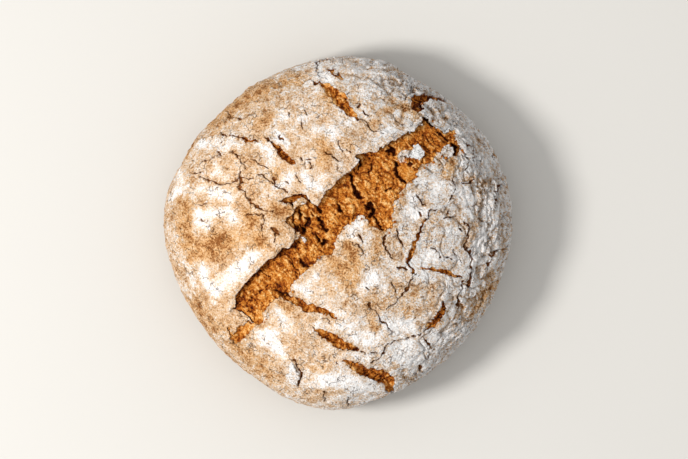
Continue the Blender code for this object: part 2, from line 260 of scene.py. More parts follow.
def dome(spots):
    """(points, outward normals) of the plain risen dome over spots given in mm from above."""
    flat = spots / 1000
    far = np.maximum(np.hypot(flat[:, 0], flat[:, 1]), 1e-6)
    radius = outline_radius(np.arctan2(flat[:, 1], flat[:, 0]))
    out = np.minimum(far / radius, 0.9999)
    up = (1 - out**SHOULDER) ** (1 / SHOULDER)
    crown = LOAF_HEIGHT - WAIST_HEIGHT
    points = np.column_stack([flat, WAIST_HEIGHT + crown * up])
    lean = out ** (SHOULDER - 1) / radius / far
    normals = np.column_stack([flat * lean[:, None], up ** (SHOULDER - 1) / crown])
    return points, normals / np.linalg.norm(normals, axis=1)[:, None]


def stroke_gap(spots, path, reach=12.0):
    """How far outside a stroke each spot lies, in mm up to a reach; points are (x, y, half width)."""
    path = [np.array((*point, 0.0)[:3], float) for point in path]
    corners = np.array(path)[:, :2]
    gap = np.full(len(spots), reach)
    close = np.all((spots > corners.min(axis=0) - reach) & (spots < corners.max(axis=0) + reach), axis=1)
    close_spots = spots[close]
    found = np.full(len(close_spots), reach)
    for start, end in zip(path[:-1], path[1:]):
        run = end[:2] - start[:2]
        offset = close_spots - start[:2]
        t = np.clip(offset @ run / (run @ run), 0, 1)
        away = offset - t[:, None] * run
        found = np.minimum(found, np.hypot(*away.T) - start[2] - t * (end[2] - start[2]))
    gap[close] = found
    return gap


def inside_loop(spots, loop):
    """Whether each spot lies inside a closed line."""
    inside = np.zeros(len(spots), bool)
    for (x0, y0), (x1, y1) in zip(loop, loop[1:] + loop[:1]):
        if y0 != y1:
            crosses = (y0 > spots[:, 1]) != (y1 > spots[:, 1])
            inside ^= crosses & (spots[:, 0] < x0 + (spots[:, 1] - y0) * (x1 - x0) / (y1 - y0))
    return inside


def ragged(points, spots):
    """The spots pushed about as raggedly as the crust tore, least along the knife's clean cut."""
    clean = np.exp(-((stroke_gap(spots, NORTH_WEST_LIP[2:8], 30) / 8) ** 2))
    push = 1.35 * noise_pairs(points, 0.0044) + 0.40 * noise_pairs(points, 0.0014)
    return spots + (1 - 0.75 * clean)[:, None] * push


def torn_edge(strayed):
    """(mm outside the score's torn edge, share across from its raised side) of ragged spots."""
    to_high = stroke_gap(strayed, NORTH_WEST_LIP, 45)
    to_low = stroke_gap(strayed, SOUTH_EAST_LIP, 45)
    outside = np.minimum(to_high, to_low)
    outside = np.where(inside_loop(strayed, NORTH_WEST_LIP + SOUTH_EAST_LIP), -outside, outside)
    return outside, to_high / (to_high + to_low + 1e-6)


def relief_fades(points):
    """(0 up to the waist and 1 above it, 0 on the oven floor and 1 clear of it) at each point."""
    face_up = smooth(points[:, 2], WAIST_HEIGHT, WAIST_HEIGHT + WAIST_FADE)
    return face_up, smooth(points[:, 2], 0.0, FOOT_FADE)


def swelling(points):
    """mm that the crust rises over the plain dome in bulges and broad unevenness."""
    face_up, off_the_foot = relief_fades(points)
    held = off_the_foot * (1 - 0.6 * np.exp(-(((points[:, 2] - WAIST_HEIGHT) / 0.014) ** 2)))
    rise = (1.6 * rough(points, 0.030, 3, 5.2) + 0.7 * rough(points, 0.009, 3, 8.8)) * held
    for x, y, radius, height in SWELLS:
        away = np.hypot(points[:, 0] * 1000 - x, points[:, 1] * 1000 - y) / radius
        rise += height * np.exp(-2 * away**2) * face_up
    return rise


def from_above(points, normals, rise):
    """Where each point of the risen crust shows from straight above, in mm."""
    return points[:, :2] * 1000 + normals[:, :2] * rise[:, None]


def sinking(normals):
    """The way that a hollow sinks: straight down on top of the loaf, square to the crust at its rim."""
    level = smooth(normals[:, 2], 0.50, 0.80)[:, None]
    way = normals * (1 - level) + level * np.array((0, 0, 1))
    return way / np.linalg.norm(way, axis=1)[:, None]


def lip_rise(strayed, outside, across):
    """mm that the crust curls up at the torn edges, most along the score's raised side."""
    high = 1 - smooth(across, 0.25, 0.75)
    rise = (LOW_LIP + (HIGH_LIP - LOW_LIP) * high) * np.exp(-np.maximum(outside, 0) / LIP_REACH)
    for path in TEARS.values():
        gap = np.maximum(stroke_gap(strayed, path), 0)
        rise += TEAR_LIP * np.exp(-gap / TEAR_LIP_REACH) * smooth(gap, 12, 8)
    return rise


def loaf_ball(cuts):
    """A bmesh cube of even squares that ball_directions reads as a ball."""
    bm = bmesh.new()
    bmesh.ops.create_cube(bm, size=2.0)
    bmesh.ops.subdivide_edges(bm, edges=bm.edges[:], cuts=cuts, use_grid_fill=True)
    bmesh.ops.recalc_face_normals(bm, faces=bm.faces[:])
    bm.verts.index_update()
    return bm


def places(bm):
    """The position of each of a bmesh's vertices."""
    return np.array([vert.co for vert in bm.verts])


def ball_directions(bm):
    """The unit direction of each of the cube's vertices, evenly spread."""
    even = np.tan(places(bm) * np.pi / 4)
    return even / np.linalg.norm(even, axis=1)[:, None]


def plain_loaf(ball):
    """(points, outward normals) of the plain loaf, all round, for unit directions."""
    angle = np.arctan2(ball[:, 1], ball[:, 0])
    radius = outline_radius(angle)
    out = np.hypot(ball[:, 0], ball[:, 1])
    above = ball[:, 2] >= 0
    bend = np.where(above, SHOULDER, FOOT_EDGE)
    reach = np.where(above, LOAF_HEIGHT - WAIST_HEIGHT, -WAIST_HEIGHT * FOOT_PRESS)
    wide = out ** (2 / bend)
    tall = np.abs(ball[:, 2]) ** (2 / bend)
    height = np.maximum(WAIST_HEIGHT + reach * tall, 0.0)
    points = np.column_stack([radius * wide * np.cos(angle), radius * wide * np.sin(angle), height])
    lean = wide ** (bend - 1) / radius
    normals = np.column_stack([lean * np.cos(angle), lean * np.sin(angle), tall ** (bend - 1) / reach])
    normals[height <= 0] = (0, 0, -1)
    return points, normals / np.linalg.norm(normals, axis=1)[:, None]


def fewer_faces(piece, triangles):
    """Thins a finished piece to a number of triangles, most where it is plain."""
    count = sum(len(face.vertices) - 2 for face in piece.data.polygons)
    if count <= triangles:
        return
    thin = piece.modifiers.new("Fewer faces", "DECIMATE")
    thin.ratio = triangles / count
    full = piece.data
    bpy.context.view_layer.update()
    graph = bpy.context.evaluated_depsgraph_get()
    piece.data = bpy.data.meshes.new_from_object(piece.evaluated_get(graph))
    piece.modifiers.clear()
    bpy.data.meshes.remove(full)


def shaped_piece(name, bm, points, fields):
    """A smooth-shaded object from a bmesh moved to points, with named values on its vertices."""
    mesh = bpy.data.meshes.new(name)
    bm.to_mesh(mesh)
    bm.free()
    mesh.vertices.foreach_set("co", points.astype(np.float32).ravel())
    for field, values in fields.items():
        layer = mesh.attributes.new(field, "FLOAT", "POINT")
        layer.data.foreach_set("value", values.astype(np.float32))
    mesh.update()
    mesh.shade_smooth()
    return placed(name, mesh)


# Where flour lies thick: how thick, then the points of a stroke as (x, y, half width) in mm.
FLOURED = (
    (1, (-85, -20, 1.5), (-83, -30, 2.5), (-76, -37, 4), (-66, -27, 5.5), (-55, -17, 4), (-46, -12, 2.5)),
    (0.8, (-93, -22, 1.2), (-91, -32, 1.2)), (0.9, (-78, -42, 1), (-77, -44, 1)),
    (1, (-50, -65, 2.5), (-42, -67, 6.5), (-38, -73, 3.5), (-33, -78, 2)),
    (0.75, (-36, -51, 2.5), (-32, -56, 3), (-30, -62, 1.5)),
    (0.85, (-87, 55, 2), (-80, 57, 2.5), (-73, 58, 1.5)),
    (0.8, (-74, 53, 1.5), (-66, 58, 2.5), (-62, 56, 1.5)),
    (0.9, (-84, 28, 2), (-76, 26, 4), (-68, 24, 4), (-62, 25, 2)),
    (0.85, (-99, 38, 1.5), (-99, 28, 3), (-104, 22, 1.5)),
    (0.9, (-88, 11, 2), (-76, 12, 3.5), (-68, 14, 3), (-64, 8, 2.5)), (0.7, (-90, 6, 1.5), (-82, 5, 2.5)),
    (0.9, (-38, 64, 2), (-35, 60, 3), (-31, 55, 1.5)), (0.85, (-34, 76, 1.5), (-32, 71, 2)),
    (0.95, (-38, 28, 1.5), (-33, 33, 3), (-28, 36, 3), (-29, 30, 2)),
    (0.85, (-20, 37, 2.5), (-18, 31, 3), (-12, 27, 2)), (0.6, (-48, 55, 2), (-43, 51, 3), (-42, 45, 3)),
    (0.75, (-14, 66, 2), (-5, 66, 3.5), (-2, 61, 2)), (0.9, (-10, 104, 1.2), (-9, 99, 2), (-4, 96, 2)),
    (0.75, (30, 63, 1.5), (36, 64, 1.5)), (0.6, (-76, 38, 2), (-70, 35, 3)),
    (0.5, (-20, 60, 2), (-15, 60, 2)), (0.6, (-21, -94, 2), (-18, -90, 2)),
    (0.5, (-45, 25, 2), (-41, 23, 2)), (1, (54, 31, 2), (61, 32, 2.5), (66, 29, 2), (62, 26, 3)),
    (0.8, (46, 27, 1.5), (48, 18, 3), (51, 11, 3), (44, 13, 2.5)), (0.95, (55, 14, 2), (57, 11, 1.5)),
    (0.9, (54, -14, 3), (60, -16, 3.5), (70, -14, 3), (76, -16, 2)), (0.85, (71, 1, 1.5), (76, 1.5, 2)),
    (0.8, (13, -35, 2), (20, -32, 3), (25, -30, 3), (30, -35, 2)),
    (0.9, (29, -57, 2), (38, -60, 4), (48, -60, 3)),
    (0.85, (8, -64, 2.5), (14, -66, 4), (22, -69, 4), (28, -65, 3)), (0.9, (11, -78, 2), (19, -79, 2.5)),
    (0.7, (38, -74, 3), (46, -72, 4), (53, -75, 3), (42, -80, 4)),
    (1, (-9, -94, 3), (2, -94, 4), (12, -95, 3.5), (20, -98, 2)), (0.6, (-17, -97, 2.5), (-9, -94, 3)),
    (0.9, (8, 1, 1.5), (14, 4, 2.5), (17, 5, 1.5)), (0.9, (4, -4, 2), (9, -3, 2)),
    (0.95, (-26, -34, 1.5), (-21, -35, 2.5), (-19, -39, 1.5)), (0.7, (-19, -33, 2), (-14, -29, 1.5)),
    (1.4, (88, -18, 3), (90, -8, 3), (94, -4, 2)), (0.75, (82, 24, 2), (82, 14, 2)),
    (0.7, (97, 12, 2), (99, 24, 2)), (0.75, (66, 84, 1.5), (74, 72, 2), (79, 62, 2), (84, 50, 2)),
    (0.7, (91, 45, 2), (95, 38, 2)), (0.7, (56, -70, 2), (62, -66, 2)),
    (0.85, (44, -21, 1.2), (51, -18, 1.5), (50, -23, 1.2)),
    (0.8, (-8, -48, 1), (0, -50, 1.8), (6, -52, 1.5)), (0.7, (-12, -58, 1), (0, -60, 2), (10, -60, 2)),
)
# Where the crust baked tan or brown with little flour on it, in the same way. Some strokes are painted shade
# instead: crust in shade beside tears and on slopes facing away from the lamp.
BROWNED_AND_SHADED = (
    (0.7, (-96, 17, 5), (-97, 0, 5), (-90, -14, 6), (-76, -8, 8), (-60, -3, 4)),
    (0.8, (-78, 70, 4), (-62, 82, 4), (-48, 89, 4), (-37, 94, 3)), (0.9, (-98, 48, 2), (-93, 57, 2)),
    (1.1, (-10, 57, 3), (-7, 52, 4), (-9, 43, 3)), (0.95, (-56, 11, 3), (-52, 8, 3.5), (-56, 3, 3)),
    (0.95, (-37, 15, 4), (-31, 14, 3.5)), (1.05, (-5, -18, 3), (3, -23, 6), (8, -24, 7), (9, -33, 5)),
    (0.6, (50, -38, 5), (58, -42, 5)), (1.2, (43, -44, 1.5), (46, -52, 2)),
    (1.2, (-32, 95, 3), (-24, 96, 3)), (0.6, (-64, -71, 4), (-55, -80, 4), (-45, -88, 4), (-37, -96, 3)),
    (1.1, (-38, 39, 2.5), (-38, 34, 2)), (0.9, (7, 55, 2), (11, 52, 2)),
    (0.65, (20, 68, 4), (30, 74, 4), (36, 82, 4)), (0.5, (90, 38, 2), (91, 25, 2)),
    (0.4, (105, 22, 2), (107, 0, 2), (104, -20, 2.5), (98, -35, 3), (91, -48, 3)),
    (1.4, (8, -8, 3), (13, -21, 4)), (1.1, (20, 5, 2), (28, 0, 1.5), (27, -10, 3), (24, -16, 3)),
    (0.6, (38, -34, 4), (32, -42, 4), (22, -46, 4)), (0.5, (-22, -50, 2), (-24, -60, 2)),
    # Mostly painted shade: the three strokes on this line and the first on the next darken crust in shade
    # beside the north-east, north and off-the-score tears and east of the score's north end.
    (1.9, (43, 79, 3), (48, 74, 3)), (1.7, (73, 49, 2), (71, 38, 3)), (1.5, (-8, 88, 1), (-4, 82, 2)),
    (1.1, (-38, -44, 1.5), (-30, -48, 2)), (1, (-50, -4, 4), (-46, -10, 3)),
    (0.8, (-37, 1, 2), (-35, -3, 1.5)), (0.6, (-6, -32, 3), (-3, -38, 3)), (1, (22, -55, 2), (26, -60, 2)),
    (1.4, (100, -26, 3), (93, -42, 4), (86, -52, 3)), (0.9, (81, -51, 4), (68, -55, 4)),
    (1, (37, 2, 1), (38, 12, 1), (41, 21, 1.5), (48, 30, 1)), (1, (55, 43, 1), (60, 46, 1)),
    (0.6, (12, 82, 3), (18, 80, 3)), (0.8, (64, 82, 2), (70, 66, 2.5), (76, 58, 2)),
    (0.8, (-14, -86, 2), (-8, -86, 2)), (0.6, (38, -95, 1), (44, -92, 1)),
    (0.7, (-48, 70, 3), (-42, 73, 3)), (0.55, (-90, -45, 4), (-80, -57, 4), (-70, -62, 3)),
    (0.45, (60, 9, 3), (66, -7, 3)), (0.45, (40, 0, 2), (36, -8, 2)), (0.35, (68, 42, 3), (70, 36, 3)),
)


def strokes(spots, listed, fade):
    """The strongest of the listed strokes at each spot, fading out past its edge."""
    strength = np.zeros(len(spots))
    for thick, *path in listed:
        strength = np.maximum(strength, thick * (1 - smooth(stroke_gap(spots, path), -fade, fade)))
    return strength


def edge_gap(strayed):
    """mm from each ragged spot to the nearest edge that needs fine faces: a lip, tear or crack."""
    edge = np.abs(torn_edge(strayed)[0])
    for path in (*TEARS.values(), *CRACKS):
        edge = np.minimum(edge, np.abs(stroke_gap(strayed, path)))
    return edge


def cut_finer(bm):
    """Cuts the edges that lie within EDGE_BAND of a torn edge or crack in three."""
    points, normals = plain_loaf(ball_directions(bm))
    faced_up = points[:, 2] > WAIST_HEIGHT
    top = points[faced_up]
    top_spots = from_above(top, normals[faced_up], swelling(top))
    fine = np.zeros(len(points), bool)
    fine[faced_up] = edge_gap(ragged(top, top_spots)) < EDGE_BAND
    fine_edges = [edge for edge in bm.edges if all(fine[vert.index] for vert in edge.verts)]
    bmesh.ops.subdivide_edges(bm, edges=fine_edges, cuts=2, use_grid_fill=True)
    bm.verts.index_update()


ball_mesh = loaf_ball(CRUST_CUTS)
cut_finer(ball_mesh)
blank, outward = plain_loaf(ball_directions(ball_mesh))
face_up, off_the_foot = relief_fades(blank)
crust_rise = swelling(blank)
strayed = ragged(blank, from_above(blank, outward, crust_rise))
outside, across = torn_edge(strayed)

lips = lip_rise(strayed, outside, across) * face_up
crust_rise += lips

# The skin is smoothest on the west and most rugged on the east, in the north and along the rim.
rim_reach = np.hypot(blank[:, 0], blank[:, 1])
north = smooth(blank[:, 1], 0.040, 0.090)
rugged = 0.16 + 0.66 * smooth(blank[:, 0], -0.010, 0.070) + 0.25 * smooth(rim_reach, 0.080, 0.104)
rugged += 0.15 * north
crust_rise += (0.50 + 0.30 * rugged) * rough(blank, 0.0048, 3, 12.1) * off_the_foot

# Where the skin is most rugged it split into small plates with furrows between them.
plate = smooth(np.abs(rough(blank, 0.017, 2, 14.7)), 0.0, 0.15)
plated = smooth(rugged, 0.45, 0.95) * (plate - 0.7) * off_the_foot
crust_rise += PLATE_RISE * plated

# The skin wrinkles along the rim, most on the east side.
rim_angle = np.arctan2(blank[:, 1], blank[:, 0])
wrinkle_place = np.column_stack([
    5.5 * np.cos(rim_angle), 5.5 * np.sin(rim_angle), (rim_reach - blank[:, 2]) / 0.0075
])
wrinkle = rough(wrinkle_place, 1.0, 3, 7.3)
east = smooth(np.cos(rim_angle - 0.1), 0.1, 0.9)
wrinkled = (0.12 + 0.98 * east) * smooth(rim_reach, 0.075, 0.098) * off_the_foot
valley = 1 - smooth(np.abs(wrinkle), 0.0, 0.20)
crust_rise -= WRINKLE_DEPTH * valley * wrinkled - 0.6 * smooth(np.abs(wrinkle), 0.15, 0.45) * wrinkled

crack_gap = np.full(len(blank), 12.0)
for path in CRACKS:
    crack_gap = np.minimum(crack_gap, stroke_gap(strayed, path))
crack_gap += 0.35 * rough(blank, 0.0022, 2, 3.3)
cracked = (1 - smooth(crack_gap, -0.35, 0.40)) * face_up
crust_rise -= CRACK_DEPTH * cracked - CRACK_LIP * np.exp(-np.maximum(crack_gap, 0) / 1.2) * face_up
for path in CREASES:
    crust_rise -= CREASE_DEPTH * (1 - smooth(stroke_gap(strayed, path), -1.5, 1.8))

torn = smooth(-outside, *WALL) * face_up
hollow = SCORE_FLOOR * torn
for path in TEARS.values():
    opened = smooth(-stroke_gap(strayed, path), *WALL) * face_up
    hollow = np.maximum(hollow, TEAR_HOLLOW * opened)
    torn = np.maximum(torn, opened)
hollow += lips * torn

# Flour lies in drifts. Where little of it stuck, the crust baked tan on the west, grey on the east. This
# warm west and grey east are partly painted light: warmer where the lamp falls, greyer on the shaded east.
west = smooth(-blank[:, 0], -0.025, 0.070)
flour = 0.56 + 0.16 * rugged - 0.13 * west + 0.17 * rough(blank, 0.016, 2, 2.2)
flour += (0.14 + 0.14 * rugged) * rough(blank, 0.0055, 3, 6.1)
east_rim = smooth(rim_reach + 0.3 * blank[:, 0], 0.090, 0.125)
flour += 0.30 * plated + 0.06 * north + 0.08 * east_rim
patchy = 1 + 0.30 * rough(blank, 0.0035, 2, 9.9)
drifts = strokes(strayed, FLOURED, 3.0)
browned_and_shaded = strokes(strayed, BROWNED_AND_SHADED, 4.5)
flour += (0.50 * drifts * patchy - 0.36 * browned_and_shaded * patchy) * face_up
flour += (0.16 * smooth(np.abs(wrinkle), 0.10, 0.40) - 0.24 * valley) * wrinkled * face_up
flour -= 0.22 * (1 - off_the_foot) + 0.10 * (1 - face_up)
# Toast holds the crust's browning, plus painted warm light on the west and the painted shade strokes.
toast = 0.48 + 0.14 * west + 0.38 * np.minimum(browned_and_shaded, 1) + 0.20 * (1 - face_up) + 0.20 * (1 - off_the_foot)
# Flour and toast carry painted light and shade as well as the crust's own colour.
fields = {
    "flour": np.clip(flour, 0, 1),
    "toast": np.clip(toast, 0, 1),
    "torn": torn,
    "crack": cracked,
    "rugged": rugged * (1 - 0.65 * np.clip(drifts, 0, 1)),
}

crust_points = blank + (outward * crust_rise[:, None] - sinking(outward) * hollow[:, None]) / 1000
crust_points[:, 2] = np.where(blank[:, 2] <= 0, 0, np.maximum(crust_points[:, 2], 0))
low_corner, high_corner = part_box("loaf")
middle = (crust_points[:, :2].min(axis=0) + crust_points[:, :2].max(axis=0)) / 2
shift = np.array((low_corner + high_corner)[:2]) / 2 - middle
crust_points[:, :2] += shift
crust = shaped_piece("crust", ball_mesh, crust_points, fields)
fewer_faces(crust, CRUST_TRIANGLES)


def linear(red, green, blue):
    """A display colour of 0 to 255 as the light values that a shader takes."""
    srgb = np.array((red, green, blue)) / 255
    light = np.where(srgb <= 0.04045, srgb / 12.92, ((srgb + 0.055) / 1.055) ** 2.4)
    return (*light, 1.0)


class Finish:
    """A matte procedural material, built node by node."""

    def __init__(self, name, roughness, specular):
        self.made = bpy.data.materials.new(name)
        self.made.use_nodes = True
        self.nodes = self.made.node_tree.nodes
        self.shader = self.nodes["Principled BSDF"]
        self.shader.inputs["Roughness"].default_value = roughness
        self.shader.inputs["Specular IOR Level"].default_value = specular
        self.place = self.node("TexCoord").outputs["Object"]

    def plug(self, socket, value):
        if isinstance(value, bpy.types.NodeSocket):
            self.made.node_tree.links.new(value, socket)
        else:
            socket.default_value = value

    def node(self, kind, *values, **settings):
        """A shader node with the given settings, and the given values in its first sockets."""
        made = self.nodes.new("ShaderNode" + kind)
        for setting, choice in settings.items():
            setattr(made, setting, choice)
        for socket, value in zip(made.inputs, values):
            self.plug(socket, value)
        return made

    def math(self, operation, *values, clamp=False):
        return self.node("Math", *values, operation=operation, use_clamp=clamp).outputs[0]

    def ease(self, value, low, high):
        """0 at low, 1 at high, eased between and level beyond."""
        return self.node("MapRange", value, low, high, interpolation_type="SMOOTHSTEP").outputs[0]

    def field(self, name):
        return self.node("Attribute", attribute_name=name).outputs["Fac"]

    def spread(self, value, amount):
        """A 0 to 1 value as a swing about zero of the given amount."""
        return self.math("MULTIPLY", self.math("SUBTRACT", value, 0.5), amount)

    def texture(self, kind, size, place=None, **settings):
        """A texture node whose features have one size, in metres."""
        made = self.node(kind, place or self.place, **settings)
        made.inputs["Scale"].default_value = 1.0 / size
        return made

    def grain(self, size, detail=2.0, sharp=0.5):
        """Noise of 0 to 1."""
        made = self.texture("TexNoise", size)
        made.inputs["Detail"].default_value = detail
        made.inputs["Roughness"].default_value = sharp
        return made.outputs["Fac"]

    def cells(self, size, feature="F1", place=None):
        """Distance to the nearest cell's heart, or to the line between cells."""
        return self.texture("TexVoronoi", size, place, feature=feature).outputs["Distance"]

    def warped(self, size, amount):
        """Object coordinates pushed about by noise."""
        wave = self.texture("TexNoise", size)
        wave.inputs["Detail"].default_value = 2.0
        centred = self.node("VectorMath", wave.outputs["Color"], (0.5, 0.5, 0.5), operation="SUBTRACT")
        pushed = (centred.outputs[0], (amount, amount, amount), self.place)
        return self.node("VectorMath", *pushed, operation="MULTIPLY_ADD").outputs[0]

    def ramp(self, value, *stops):
        """Colours along a value; a stop is where it lies and its red, green and blue of 0 to 255."""
        made = self.node("ValToRGB", value)
        points = made.color_ramp.elements
        while len(points) < len(stops):
            points.new(0.5)
        for point, (place, *colour) in zip(points, stops):
            point.position = place
            point.color = linear(*colour)
        return made.outputs["Color"]

    def blend(self, share, first, second):
        made = self.node("Mix", share, data_type="RGBA")
        self.plug(made.inputs[6], first)
        self.plug(made.inputs[7], second)
        return made.outputs[2]

    def bumps(self, *heights):
        """Stacks (height, depth in metres) pairs into the surface's small relief."""
        normal = None
        for height, depth in heights:
            made = self.node("Bump")
            made.inputs["Distance"].default_value = depth
            self.plug(made.inputs["Height"], height)
            if normal is not None:
                self.plug(made.inputs["Normal"], normal)
            normal = made.outputs[0]
        self.plug(self.shader.inputs["Normal"], normal)

    def paint(self, colour):
        self.plug(self.shader.inputs["Base Color"], colour)


floured = Finish("floured_crust", 0.92, 0.12)
dust = floured.grain(0.0012, 3.0, sharp=0.75)
mottle = floured.grain(0.0032, 3.0, sharp=0.65)
clots = floured.grain(0.0075, 3.0, sharp=0.6)
gritty = floured.math("MULTIPLY_ADD", floured.field("rugged"), 0.60, 0.48)
dusty = floured.math("MULTIPLY_ADD", floured.field("rugged"), 0.45, 0.68)
patches = floured.math("ADD", floured.spread(mottle, 1.15), floured.spread(clots, 1.15))
cover = floured.math("MULTIPLY_ADD", floured.spread(dust, 2.4), dusty, floured.field("flour"))
cover = floured.math("MULTIPLY_ADD", patches, gritty, cover)
grey_skin = floured.ramp(
    cover,
    (0.0, 104, 72, 50), (0.22, 166, 137, 112), (0.45, 207, 186, 166),
    (0.65, 224, 212, 202), (0.85, 239, 235, 234), (1.0, 247, 247, 248),
)
tan_skin = floured.ramp(
    cover,
    (0.0, 142, 86, 40), (0.22, 208, 153, 94), (0.45, 224, 181, 130),
    (0.65, 229, 203, 174), (0.85, 239, 229, 222), (1.0, 247, 245, 244),
)
skin = floured.blend(floured.field("toast"), grey_skin, tan_skin)

line = floured.cells(0.0062, "DISTANCE_TO_EDGE", floured.warped(0.0030, 0.0034))
broken = floured.ease(floured.grain(0.0065, 1.0), 0.52, 0.62)
hairs = floured.math("MULTIPLY", floured.ease(line, 0.035, 0.010), broken)
pricks = floured.ease(floured.cells(0.0019), 0.24, 0.12)
pricks = floured.math("MULTIPLY", pricks, floured.ease(floured.grain(0.006), 0.40, 0.60))
pricks = floured.math("MULTIPLY", pricks, gritty, clamp=True)
dark = floured.math("MAXIMUM", floured.math("MULTIPLY", hairs, 0.75), floured.math("MULTIPLY", pricks, 0.85))
skin = floured.blend(dark, skin, linear(88, 54, 30))
wall = floured.ramp(dust, (0.35, 112, 60, 28), (0.65, 196, 132, 86))
skin = floured.blend(floured.ease(floured.field("torn"), 0.10, 0.35), skin, wall)
crevice = floured.ramp(dust, (0.35, 66, 32, 12), (0.65, 156, 94, 44))
skin = floured.blend(floured.ease(floured.field("crack"), 0.25, 0.8), skin, crevice)
floured.paint(skin)
floured.bumps(
    (floured.math("MULTIPLY", mottle, gritty), 0.0040), (floured.math("MULTIPLY", dust, gritty), 0.0024),
    (floured.math("MULTIPLY", dark, -1.0), 0.0008),
)
crust.data.materials.append(floured.made)
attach(crust, "root")
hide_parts("loaf")

# ---- Crumb ----
# The loaf's torn inside where it shows in the score and the tears: moist potato crumb, baked brown
# where it met the oven's heat. It fills the hollows in the crust and is rough with pores. Its colour
# has painted shade in its hollows, creases and deeper tears and along the score's raised lip, and
# painted highlight on its crowns.
CRUMB_PITCH = 0.29  # mm between its surface points
CRUMB_REACH = 2.2  # mm that it runs on under the crust's edge
CRUMB_TRIANGLES = 190000
CRUMB_LENGTH = 220  # mm, across the whole loaf
HIGH_SIDE_DROP = 2.6  # mm below the crust along the raised lip
SLOT_DROP = 4.6  # the same in the score's narrow south-west slot
LOW_SIDE_DROP = 0.6
WEST_CORNER = (-31, 12)  # where the crumb stands nearly level with the crust
CORNER_REACH = 11.0
CRUMBLED_END = (-66, -60)  # the score's south-west end, where it comes up to the crust
CRUMBLED_REACH = (8, 30)  # mm from that end where it starts and has its full depth
CLUMP_RELIEF = 2.3
SWELL_RELIEF = 1.1
FIBRE_RELIEF = 0.50
TUCKED_UNDER = 3.0  # mm that its edge lies deeper under the crust
CRUMB_UNDERLAP = 0.8  # mm that its underside lies below the crust's hollows
# Named hollows in the crumb: the depth in mm, then the points of a stroke as above. Each is also painted
# dark inside, as shade.
HOLES = (
    (3, (-23.5, 13.5, 0.7), (-21.5, 10.5, 1.2), (-22.5, 8, 0.8)),
    (3.4, (-18.6, 9, 0.8), (-17.5, 6.5, 1.4), (-19, 4, 0.9)), (2.6, (-21.8, 3.5, 1), (-19.5, 1, 1)),
    (2.4, (-15.5, 12.5, 0.7), (-14, 10.5, 0.9)), (4, (-11.5, 9, 1), (-9, 5, 1.8), (-6, 1.5, 1.2)),
    (3.5, (-11.5, 16.5, 1), (-9.8, 13, 1.5)), (3.5, (1.5, 17, 0.8), (3.2, 14.3, 1.4)),
    (4.5, (9, 36, 0.8), (10, 31, 1.2), (12.5, 26, 1.1), (16, 20.5, 1.2)),
    (4.5, (14, 45, 1), (15, 42, 1.6), (14.5, 39.5, 0.9)),
    (6, (19.2, 15.2, 1), (21.5, 18, 1.7), (23, 14, 1.6), (22, 10, 1.2)),
    (4, (-8.5, -7.5, 1.6), (-6.5, -5, 1.2)), (3, (-12.5, -2, 0.8), (-11, -5.5, 1)),
    (4.5, (32.5, 50, 1.4), (34.5, 51.5, 1.8), (36.5, 49.5, 1.4)),
    (4.2, (37, 44, 0.8), (37.8, 39, 1.3), (40.2, 34.5, 1.4), (44, 31.3, 0.9)),
    (5.5, (73, 55.5, 0.8), (74.5, 52.5, 1.7), (73.5, 49, 1.4)),
    (3, (55, 73, 1.3), (56.5, 70, 1.8), (60, 67.5, 1)),
    (2.5, (64, 63, 0.8), (67, 60, 0.8), (70.5, 57.5, 0.6)), (2.5, (46, 43.5, 0.9), (47.3, 42, 1)),
    (1.8, (49, 40.5, 0.5), (50, 40, 0.5)), (2.6, (-22.5, -17, 1), (-20.5, -21, 1.6), (-17.5, -21.5, 1)),
    (2, (-31, -14, 0.3), (-28, -18, 0.5), (-25, -24, 0.5), (-22.5, -28, 0.4)),
    (2.6, (-39.8, -36, 0.5), (-34, -38.5, 1.1), (-29, -40, 1)),
    (2.4, (-65.5, -48, 0.8), (-60, -50.3, 1.2), (-54, -55, 0.9)), (2.2, (32, 27, 0.9), (34, 27.5, 0.7)),
    (3.4, (24.5, 9, 0.7), (27, 5.5, 0.9), (29.5, 2.2, 0.9)),
    (2.2, (-27.5, 14, 1), (-27, 8.5, 0.8), (-25.5, 3.5, 1), (-27.5, -1, 0.9)),
    (2.5, (-20, 2, 0.8), (-21, -1, 0.8)), (1.6, (51, 56.5, 0.3), (55.5, 52.5, 0.4)),
    (2, (54.5, 47, 0.6), (54.8, 43.5, 0.6)), (2, (60.5, 51, 0.5), (66.5, 50, 0.5)),
    (2, (22, 42.5, 0.7), (21, 38, 0.7)), (1.6, (-46, -35.5, 0.5), (-48, -38, 0.7)),
    (1.4, (-46, -25, 0.6), (-41, -29, 0.6)),
)
# Flour that fell on the crumb, in the same way as on the crust.
DUSTED = (
    (0.9, (41, 46, 3), (44, 50, 2.5), (50, 51, 3)), (0.6, (68, 48, 1.5), (70, 54, 1.5)),
    (0.5, (-27, 17, 2), (-21, 20, 1.5)), (0.7, (-27, -2, 1.5), (-19, -5, 1.5)),
    (0.8, (-1, 101, 1.5), (2, 98, 1.5)), (0.6, (52, 79, 1.5), (54, 82, 1.5)),
    (0.6, (26, -98, 2), (30, -97, 1.5)), (0.5, (-60, -60, 1.5), (-56, -55, 1.5)),
    (0.5, (-13, 21, 1.5), (-6, 26, 1)), (0.5, (36, 12, 1), (34, 20, 1), (40, 28, 1)),
    (0.45, (-2, -10, 1), (-12, -18, 1)),
)
# Smooth pads that the crumb tore round.
PADS = (((43, 39, 4.0), (46.5, 36.5, 3.6)), ((-58.8, -62, 1.4), (-58, -62.5, 1.3)))


def nodules(points, size, offset):
    """Rounded clumps of one size with creases between them, from 0 in a crease to 1 on a crown."""
    bent = [noise.noise_vector(place) for place in (points / (1.4 * size)).tolist()]
    moved = points / size + offset + 0.35 * np.array(bent)
    near, next_near = np.array([noise.voronoi(place)[0][:2] for place in moved.tolist()]).T
    return smooth(next_near - near, 0.0, 0.42) * (1 - 0.5 * near)


